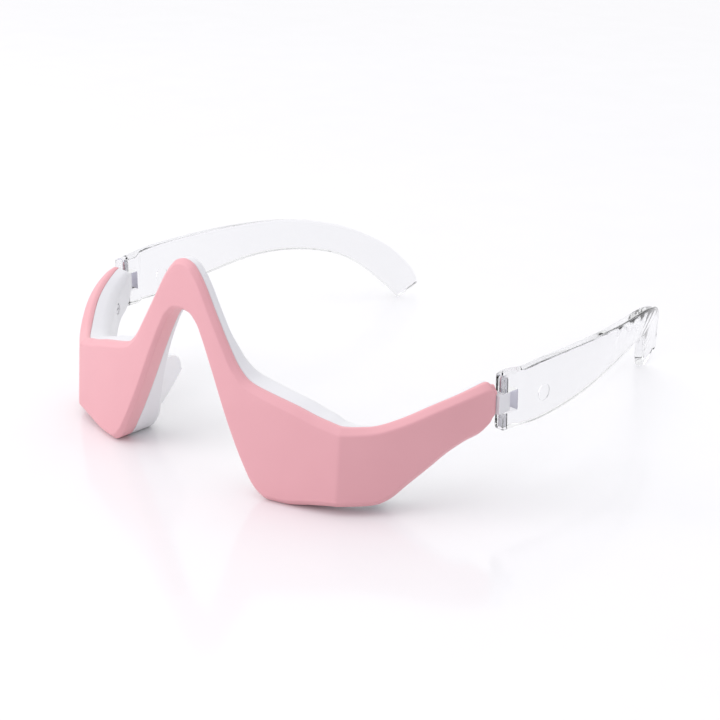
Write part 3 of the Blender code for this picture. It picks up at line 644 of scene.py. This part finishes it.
def back_ring(p):
    reach = abs(p)
    high, low = top_edge(p), bottom_edge(p)
    grow_high, grow_low = stretch(top_edge, p), stretch(bottom_edge, p)
    part_high, part_low = smooth(RIM_TOP, reach) + SEAM, smooth(RIM_BOTTOM, reach) + SEAM
    sag = low - smooth(BACK_BOTTOM_SAG, reach)
    round_high, round_low = smooth(BACK_ROUND_TOP, reach), smooth(BACK_ROUND_BOTTOM, reach)
    deep_high, deep_low = smooth(BODY_TOP, reach), smooth(BODY_BOTTOM, reach)
    inset = end_inset(p) * 0.6
    lip = LIP_LENGTH if reach < STEEP_END else 0.05
    lip_high = max(part_high - lip, COVER_WALL + 0.4)
    lip_low = max(part_low - lip, COVER_WALL + 0.4)
    step_in = COVER_WALL + GAP
    inside = step_in + LIP_WALL
    soft = 0.12
    steps = 10
    ring = [(part_low, low + soft * grow_low), (part_low + soft, low)]
    face_low = body_depth(p, sag + round_low * grow_low)
    for step in range(steps + 1):
        turn = math.pi / 2 * step / steps
        depth = deep_low + (face_low - deep_low) * step / steps
        ring.append((depth - round_low * (1 - math.sin(turn)) - inset * math.sin(turn),
                     sag + round_low * (1 - math.cos(turn)) * grow_low))
    z_low = ring[-1][1]
    z_high = fallen(p, deep_high, high) - round_high * grow_high
    for step in range(1, 6):
        z = z_low + (z_high - z_low) * step / 6
        ring.append((body_depth(p, z) - inset, z))
    face_high = body_depth(p, z_high)
    for step in range(steps + 1):
        turn = math.pi / 2 * step / steps
        depth = face_high + (deep_high - face_high) * step / steps
        depth -= round_high * (1 - math.cos(turn)) + inset * math.cos(turn)
        edge = fallen(p, deep_high - round_high * (1 - math.cos(turn)), high)
        ring.append((depth, edge - round_high * (1 - math.sin(turn)) * grow_high))
    ring += [(part_high + soft, fallen(p, part_high, high)),
             (part_high, fallen(p, part_high, high - soft * grow_high)),
             (part_high, fallen(p, part_high, high - step_in * grow_high)),
             (lip_high, fallen(p, lip_high, high - step_in * grow_high))]
    wall_high, wall_low = high - inside * grow_high, low + inside * grow_low
    back_high = fallen(p, deep_high, wall_high)
    ring += [(lip_high, fallen(p, lip_high, wall_high)),
             (body_depth(p, back_high) - BACK_WALL, back_high),
             (body_depth(p, wall_low) - BACK_WALL, wall_low), (lip_low, wall_low),
             (lip_low, low + step_in * grow_low), (part_low, low + step_in * grow_low)]
    return [point(p, depth, z) for depth, z in ring]


def tongue_outline(margin, steps=24):
    inner, outer = HINGE_X - TONGUE_RADIUS - margin, HINGE_X + TONGUE_RADIUS + margin
    step_y, step_x = 43.9 - margin, 72.0 + margin
    outline = [(inner - 2.0, 40.2 - margin), (step_x, 40.2 - margin), (step_x, step_y),
               (outer, step_y)]
    for turn in range(steps + 1):
        angle = math.pi * turn / steps
        outline.append((HINGE_X + (TONGUE_RADIUS + margin) * math.cos(angle),
                        HINGE_Y + (TONGUE_RADIUS + margin) * math.sin(angle)))
    outline.append((inner, 44.6))
    outline.append((inner - 2.0, 43.0))
    return outline


def upright(side):
    return Matrix.Diagonal((side, 1, 1, 1))


def build_cover():
    stations = fine_stations()
    walls = sum(1 for p in stations if p > BAND_END - END_WALL)
    rings = [cover_ring(p) for p in stations]
    last = len(rings[0]) - 1
    cover = make("pink_cover", ringed_body(rings, (last - 3, last - 2, last - 1, last),
                                           walls, walls), FINISH["pink"])
    for side in SIDES.values():
        cut(cover, tool(tongue_outline(GAP), TONGUE_LOW - GAP, TONGUE_HIGH + GAP, upright(side)))
    seat = surface_frame(*BUTTON_AT, outer_face)
    cut(cover, tool(circle(BUTTON_RADIUS + GAP, 72), -3.0, 3.0, seat))
    cut(cover, tool(circle(STATUS_LIGHT_RADIUS + 0.08, 32, STATUS_LIGHT_AT), -3.0, 3.0, seat))
    settle(cover)
    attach(cover, "frame")
    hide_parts("front_shell")


def build_back():
    stations = fine_stations()
    walls = sum(1 for p in stations if p > BAND_END - END_WALL)
    rings = [back_ring(p) for p in stations]
    last = len(rings[0]) - 1
    hollow = tuple(range(last - 5, last - 1))
    back = make("white_back", ringed_body(rings, hollow, walls, walls), FINISH["white"])
    width, height = WINDOW_SIZE
    for side in SIDES.values():
        join(back, tool(tongue_outline(0.0), TONGUE_LOW, TONGUE_HIGH, upright(side)))
        cut(back, tool(circle(PIN_RADIUS + 0.1, 32, (HINGE_X, HINGE_Y)), TONGUE_LOW - 1,
                       TONGUE_HIGH + 1, upright(side)))
        middle = surface_frame(side * LOBE, LOBE_HEIGHT, body_depth, True)
        pane = rectangle(width + LENS_CLEARANCE, height + LENS_CLEARANCE, 2.15)
        cut(back, tool(pane, -4, 3, middle))
        wide, tall = ELECTRODE_SIZE
        corner = wide / 2 - 0.01
        for offset in ELECTRODE_OFFSETS.values():
            seat = surface_frame(side * (LOBE + offset), LOBE_HEIGHT, body_depth, True)
            pocket = rectangle(wide + LENS_CLEARANCE, tall + LENS_CLEARANCE,
                               corner + LENS_CLEARANCE / 2)
            cut(back, tool(pocket, -1.0, 3, seat))
        for reach, z in SCREWS.values():
            seat = surface_frame(side * reach, z, body_depth, True)
            cut(back, tool(circle(SCREW_SINK_RADIUS, 36), -1.0, 3, seat))
            cut(back, tool(circle(SCREW_HOLE_RADIUS, 24), -BACK_WALL - 1, 1, seat))
    port = Matrix.Rotation(math.radians(PORT_TURN), 4, "Z")
    port.translation = point(*PORT_AT, 0)
    cut(back, tool(rectangle(*PORT_SIZE, 1.75), -3.0, 5.2, port))
    settle(back)
    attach(back, "frame")
    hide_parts("rear_shell")


# ---------------------------------------------------------------- temples

def temple_plan(y):
    if y < TEMPLE_WIDEST_Y:
        return TEMPLE_HALF_WIDTH - 0.0024 * (TEMPLE_WIDEST_Y - y) ** 2
    return TEMPLE_HALF_WIDTH - 0.000887 * (y - TEMPLE_WIDEST_Y) ** 2.3


def temple_thickness(y):
    """The arm thickens into a round knuckle about the pin."""
    reach = y - HINGE_Y
    across = KNUCKLE_RADIUS
    if reach < 0:
        across = math.sqrt(max(KNUCKLE_RADIUS ** 2 - reach ** 2, 0.0))
    knuckle = temple_plan(y) - HINGE_X + across
    blend = min(max((reach - 2.0) / 5.0, 0.0), 1.0)
    blend = blend * blend * (3 - 2 * blend)
    return knuckle * (1 - blend) + TEMPLE_THICKNESS * blend


def along_edge(points, share):
    run, total = [], 0.0
    for a, b in zip(points, points[1:]):
        run.append(total)
        total += math.dist(a, b)
    run.append(total)
    want = share * total
    index = min(max(bisect.bisect_right(run, want) - 1, 0), len(points) - 2)
    return index, (want - run[index]) / (run[index + 1] - run[index])


def edge_point(points, share):
    """Smooth (y, z) at a share of the edge's length, through its design points."""
    index, u = along_edge(points, share)
    before = points[max(index - 1, 0)]
    a, b = points[index], points[index + 1]
    after = points[min(index + 2, len(points) - 1)]
    place = []
    for axis in (0, 1):
        m0 = (b[axis] - before[axis]) / 2
        m1 = (after[axis] - a[axis]) / 2
        place.append((2 * u ** 3 - 3 * u ** 2 + 1) * a[axis] + (u ** 3 - 2 * u ** 2 + u) * m0
                     + (3 * u ** 2 - 2 * u ** 3) * b[axis] + (u ** 3 - u ** 2) * m1)
    return place


def temple_corner(y, z, plan_y, depth, side):
    """A point of the temple, at a depth in from its outer face."""
    step = 0.5
    slope = (temple_plan(plan_y + step) - temple_plan(plan_y - step)) / (2 * step)
    inward = Vector((-1.0, slope, 0)).normalized()
    place = Vector((temple_plan(plan_y), y, z)) + inward * depth
    return Vector((side * place.x, place.y, place.z))


def temple_ring(share, side, inset):
    """Cross-section with round corners. inset draws it in near the two ends."""
    upper, lower = edge_point(TEMPLE_UPPER, share), edge_point(TEMPLE_LOWER, share)
    height = math.dist(upper, lower)
    steps = 5
    radius = TEMPLE_EDGE
    ring = []
    for face, edge in ((0, 0), (0, 1), (1, 1), (1, 0)):
        for step in range(steps + 1):
            turn = math.pi / 2 * step / steps
            if face == edge:
                turn = math.pi / 2 - turn
            # turn 0 lies on the side face, a right angle on the upper or lower edge
            from_edge = inset + radius * (1 - math.sin(turn))
            from_face = inset + radius * (1 - math.cos(turn))
            mix = from_edge / height if edge == 0 else 1 - from_edge / height
            y = lower[0] + (upper[0] - lower[0]) * mix
            z = lower[1] + (upper[1] - lower[1]) * mix
            depth = from_face if face == 0 else temple_thickness(y) - from_face
            plan_y = y + TEMPLE_LEAN * (upper[0] - y)
            ring.append(temple_corner(y, z, plan_y, depth, side))
    return ring


def build_temple(side_name, side):
    """A clear arm with round ends, a slot and a hole for the hinge, and a moulded disc."""
    soft, length = TEMPLE_END_ROUND, TEMPLE_LENGTH
    end_steps, lead_steps, lead = 6, 40, 0.1
    shares, insets = [], []
    for step in range(end_steps):
        turn = math.pi / 2 * step / end_steps
        shares.append(soft * (1 - math.cos(turn)) / length)
        insets.append(soft * (1 - math.sin(turn)))
    for step in range(lead_steps):
        shares.append(soft / length + (lead - soft / length) * step / lead_steps)
        insets.append(0.0)
    for step in range(TEMPLE_STATIONS):
        shares.append(lead + (1 - soft / length - lead) * step / TEMPLE_STATIONS)
        insets.append(0.0)
    for step in range(end_steps + 1):
        turn = math.pi / 2 * step / end_steps
        shares.append(1 - soft / length * (1 - math.sin(turn)))
        insets.append(soft * (1 - math.cos(turn)))
    rings = [temple_ring(share, side, inset) for share, inset in zip(shares, insets)]
    temple = make("clear_temple_" + side_name, ringed_body(rings), FINISH["clear"])
    slot = rectangle(SLOT_WIDTH, SLOT_END - SLOT_MOUTH, 0, (HINGE_X, (SLOT_END + SLOT_MOUTH) / 2))
    cut(temple, tool(slot, TONGUE_LOW - GAP, TONGUE_HIGH + GAP, upright(side)))
    hole = circle(PIN_RADIUS + 0.05, 32, (HINGE_X, HINGE_Y))
    cut(temple, tool(hole, 10, 40, upright(side)))
    y, z = DISC_AT
    seat = Matrix.Rotation(math.radians(90), 4, "Y")
    seat.translation = Vector((side * (temple_plan(y) - TEMPLE_THICKNESS), y, z))
    cut(temple, tool(circle(DISC_RADIUS), -side * 1.0, side * 0.18, seat))
    settle(temple, 30)
    # The slot's end face takes the lavender-grey finish: painted shade where the clear arm looks
    # grey.
    temple.data.materials.append(FINISH["slot_end_shade"])
    for face in temple.data.polygons:
        past_slot = face.center.y / MM + MIDDLE_Y - SLOT_END
        if abs(past_slot) < 0.02 and TONGUE_LOW - 1 < face.center.z / MM < TONGUE_HIGH + 1:
            face.material_index = 1
    temple.visible_shadow = False
    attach(temple, "temple_" + side_name)
    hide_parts("temple_" + side_name)


def build_pin(side_name, side):
    seat = upright(side) @ Matrix.Translation((HINGE_X, HINGE_Y, 0))
    profile = [(0.15, 19.2), (0, 19.35), (0, 32.65), (0.15, 32.8)]
    pin = make("steel_pin_" + side_name,
               stacked_mesh(lambda inset: circle(PIN_RADIUS - inset, 32), profile, seat),
               FINISH["steel"])
    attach(pin, "frame")
    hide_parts("hinge_pin_" + side_name)


# ---------------------------------------------------------------- nose pads

def arch_wall(z):
    """Distance along the band where the nose arch has this height."""
    low, high = 2.2, 30.0
    for _ in range(30):
        middle = (low + high) / 2
        low, high = (middle, high) if bottom_edge(middle) > z else (low, middle)
    return low


def pad_reach(share):
    if share < PAD_DEEPEST:
        swell = math.sqrt(1 - (1 - share / PAD_DEEPEST) ** 2)
        return 4.2 + (PAD_REACH - 4.2) * swell
    return PAD_REACH * (1 - (share - PAD_DEEPEST) / (1 - PAD_DEEPEST)) + 0.8


def build_nose_pad(side_name, side):
    """A soft fin with a rounded lip, deepest near its top."""
    rings = []
    for step in range(PAD_STEPS + 1):
        share = step / PAD_STEPS
        z = PAD_TOP - (PAD_TOP - PAD_FOOT) * share
        inner, outer = arch_wall(z) + PAD_INSET, arch_wall(z) + PAD_INSET + PAD_THICKNESS
        seat = max(body_depth(inner, z), body_depth(outer, z)) + 0.1
        roots = [point(place, seat, z) for place in (inner, outer)]
        reach = pad_reach(share)
        out = Vector((0.2, 1.0, -0.1)).normalized()
        lip = min(0.8, reach * 0.4)
        ring = []
        for turn_step in range(9):
            turn = math.pi * turn_step / 8
            mix = (1 - math.cos(turn)) / 2
            ring.append(roots[0].lerp(roots[1], mix) + out * (reach - lip + lip * math.sin(turn)))
        ring = [roots[0] - out * PAD_ROOT] + ring + [roots[1] - out * PAD_ROOT]
        rings.append([Vector((side * place.x, place.y, place.z)) for place in ring])
    pad = make("soft_nose_pad_" + side_name, ringed_body(rings), FINISH["silicone"], 50)
    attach(pad, "frame")
    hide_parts("nose_pad_" + side_name)


# ---------------------------------------------------------------- skin side

def plug_profile(low, high, radius, steps=6):
    """Straight wall with a rounded top edge, as (inset, height)."""
    profile = [(0.0, low)]
    for step in range(steps + 1):
        turn = math.pi / 2 * step / steps
        profile.append((radius * (1 - math.cos(turn)), high - radius * (1 - math.sin(turn))))
    return profile


def build_lobe(side_name, side):
    middle = surface_frame(side * LOBE, LOBE_HEIGHT, body_depth, True)
    width, height = WINDOW_SIZE

    def window_outline(inset):
        return rectangle(width - 2 * inset, height - 2 * inset, 2.0 - inset)

    lens = make("red_lens_" + side_name,
                stacked_mesh(window_outline, plug_profile(-BACK_WALL, -0.1, 0.3), middle, 0.05),
                FINISH["lens"])
    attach(lens, "frame")
    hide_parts("light_window_" + side_name)
    wide, tall = ELECTRODE_SIZE
    corner = wide / 2 - 0.01

    def contact_outline(inset):
        return rectangle(wide - 2 * inset, tall - 2 * inset, corner - inset)

    for place, offset in ELECTRODE_OFFSETS.items():
        seat = surface_frame(side * (LOBE + offset), LOBE_HEIGHT, body_depth, True)
        contact = make("contact_%s_%s" % (place, side_name),
                       stacked_mesh(contact_outline, plug_profile(-0.7, 0.35, 0.5), seat, 0.12),
                       FINISH["contact"])
        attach(contact, "frame")
        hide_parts("electrode_%s_%s" % (place, side_name))
    for label, (reach, z) in SCREWS.items():
        seat = surface_frame(side * reach, z, body_depth, True)
        screw = make("screw_%s_%s" % (label, side_name),
                     stacked_mesh(lambda inset: circle(SCREW_HEAD_RADIUS - inset, 36),
                                  plug_profile(-0.7, -0.05, 0.25), seat), FINISH["steel"])
        join(screw, tool(circle(SCREW_SHANK_RADIUS, 24), -BACK_WALL - 3.3, -0.4, seat))
        for turn in (0, 90):
            slot = seat @ Matrix.Rotation(math.radians(turn), 4, "Z")
            cut(screw, tool(rectangle(1.5, 0.3), -0.35, 1.0, slot))
        settle(screw)
        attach(screw, "frame")
        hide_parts("shell_screw_%s_%s" % (label, side_name))


def build_button():
    seat = surface_frame(*BUTTON_AT, outer_face)
    # flange, straight wall, rounded rim, dished top: inset, height
    profile = [(-0.9, -2.55), (-0.9, -2.0), (0.0, -2.0), (0.0, 0.35), (0.06, 0.5),
               (0.2, BUTTON_HEIGHT), (0.5, BUTTON_HEIGHT), (0.9, 0.45), (1.6, 0.32), (2.6, 0.27)]
    button = make("button_cap",
                  stacked_mesh(lambda inset: circle(BUTTON_RADIUS - inset, 72), profile, seat),
                  FINISH["white"])
    join(button, tool(circle(PLUNGER_RADIUS, 32), -3.0, -2.4, seat))
    settle(button)
    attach(button, "power_button")
    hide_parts("power_button")
    light_seat = seat @ Matrix.Translation((*STATUS_LIGHT_AT, 0))
    light = make("status_light_pipe",
                 stacked_mesh(lambda inset: circle(STATUS_LIGHT_RADIUS - inset, 32),
                              plug_profile(-4.6, 0.02, 0.1), light_seat, 0.03), FINISH["led"])
    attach(light, "frame")
    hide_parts("status_light")


# ---------------------------------------------------------------- stage

def area_light(name, place, aim, size, power):
    data = bpy.data.lights.new(name, "AREA")
    data.shape = "RECTANGLE"
    data.size, data.size_y = size
    data.energy = power
    made = bpy.data.objects.new(name, data)
    made.location = place
    direction = Vector(aim) - Vector(place)
    made.rotation_euler = direction.to_track_quat("-Z", "Y").to_euler()
    bpy.context.scene.collection.objects.link(made)
    return made


def build_stage():
    mesh = bpy.data.meshes.new("floor")
    corners = [(x * FLOOR_REACH, y * FLOOR_REACH, 0)
               for x, y in ((-1, -1), (1, -1), (1, 1), (-1, 1))]
    mesh.from_pydata(corners, [], [(0, 1, 2, 3)])
    floor = bpy.data.objects.new("floor", mesh)
    floor.location.z = -0.0001
    bpy.context.scene.collection.objects.link(floor)
    made, nodes, links, shader = new_material("polished_white_floor")
    fine = noise_at(nodes, links, 40.0)
    links.new(tinted(nodes, links, fine, (0.885, 0.885, 0.89), (0.895, 0.895, 0.90)),
              shader.inputs["Base Color"])
    links.new(spread(nodes, links, fine, 0.10, 0.14), shader.inputs["Roughness"])
    shader.inputs["Specular IOR Level"].default_value = 0.5
    mesh.materials.append(made)
    world = bpy.data.worlds.new("studio")
    bpy.context.scene.world = world
    world.use_nodes = True
    nodes, links = world.node_tree.nodes, world.node_tree.links
    place = nodes.new("ShaderNodeTexCoord")
    background = nodes["Background"]
    towards_back = nodes.new("ShaderNodeVectorMath")
    towards_back.operation = "DOT_PRODUCT"
    towards_back.inputs[1].default_value = BACKDROP
    links.new(place.outputs["Generated"], towards_back.inputs[0])
    share = nodes.new("ShaderNodeMapRange")
    share.inputs["From Min"].default_value = -1.0
    links.new(towards_back.outputs["Value"], share.inputs["Value"])
    ramp = nodes.new("ShaderNodeValToRGB")
    ramp.color_ramp.elements[0].position = 0.30
    ramp.color_ramp.elements[0].color = (*STUDIO_DARK, 1)
    ramp.color_ramp.elements[1].position = 0.80
    ramp.color_ramp.elements[1].color = (*STUDIO_LIGHT, 1)
    links.new(share.outputs["Result"], ramp.inputs["Fac"])
    links.new(ramp.outputs["Color"], background.inputs["Color"])
    background.inputs["Strength"].default_value = 1.0
    sun = bpy.data.lights.new("overhead", "SUN")
    sun.energy = OVERHEAD_ENERGY
    sun.angle = math.radians(70)
    overhead = bpy.data.objects.new("overhead", sun)
    overhead.rotation_euler = Vector(OVERHEAD).to_track_quat("Z", "Y").to_euler()
    bpy.context.scene.collection.objects.link(overhead)
    area_light("key", KEY_AT, KEY_AIM, KEY_SIZE, KEY_POWER)
    bpy.context.scene.view_settings.view_transform = "Standard"


def build_camera():
    a, e = math.radians(VIEW_AZIMUTH), math.radians(VIEW_ELEVATION)
    back = Vector((math.sin(a) * math.cos(e), -math.cos(a) * math.cos(e), math.sin(e)))
    data = bpy.data.cameras.new("photo_view")
    data.lens = VIEW_LENS
    data.sensor_width = 36.0
    data.clip_start = 0.01
    camera = bpy.data.objects.new("photo_view", data)
    camera.location = Vector(VIEW_TARGET) + back * VIEW_DISTANCE
    camera.rotation_euler = (-back).to_track_quat("-Z", "Y").to_euler()
    bpy.context.scene.collection.objects.link(camera)
    bpy.context.scene.camera = camera


def dress_carried_nodes():
    for name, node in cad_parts.items():
        for start, finish in CARRIED.items():
            if name.startswith(start):
                node.data.materials.clear()
                node.data.materials.append(FINISH[finish])
                node.data.shade_smooth()
                node.data.set_sharp_from_angle(angle=math.radians(35))


build_camera()
build_stage()
dress_carried_nodes()
build_cover()
build_back()
for side_name, side in SIDES.items():
    build_temple(side_name, side)
    build_pin(side_name, side)
    build_nose_pad(side_name, side)
    build_lobe(side_name, side)
build_button()
